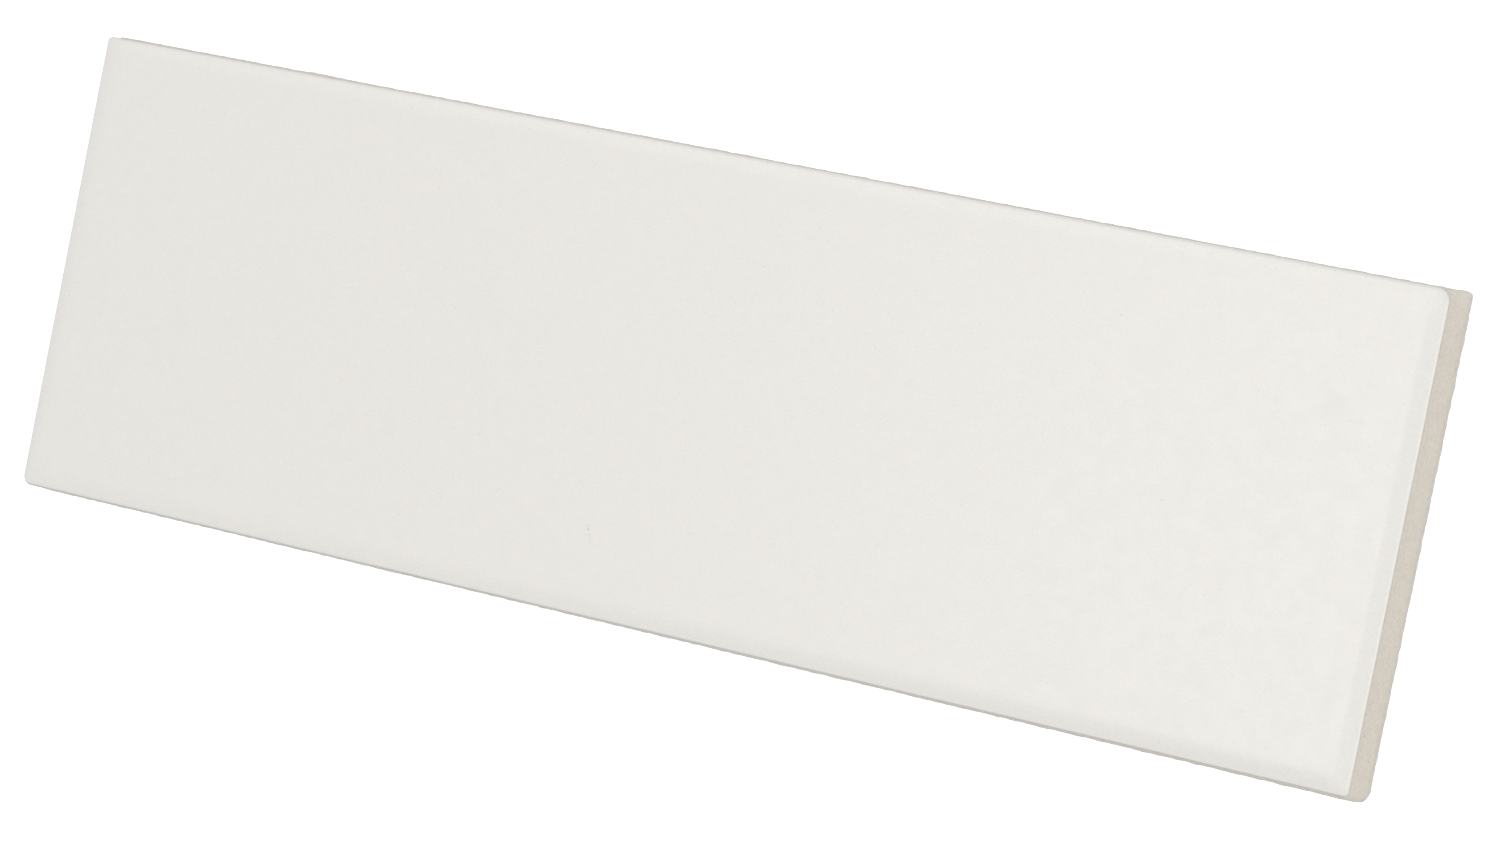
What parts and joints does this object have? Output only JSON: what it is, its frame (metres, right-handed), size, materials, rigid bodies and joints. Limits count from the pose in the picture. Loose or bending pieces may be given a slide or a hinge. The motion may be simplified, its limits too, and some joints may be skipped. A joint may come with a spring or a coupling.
{
  "type": "ceramic wall tile",
  "caption": "Oblong glazed ceramic wall tile with a softly cushioned face edge, bare clay side walls and a keyed back.",
  "frame": {"origin": "centre of the back, on the plane that the back's ribs rest on", "axes": "+X along the length, +Y across the width, +Z out of the glazed face"},
  "size_m": [0.2, 0.065, 0.0083],
  "materials": {
    "glazed_clay": "satin off-white glaze on the face, bare cream clay on the sides and back"
  },
  "bodies": {
    "root": {"tile": "glazed_clay"}
  },
  "joints": []
}
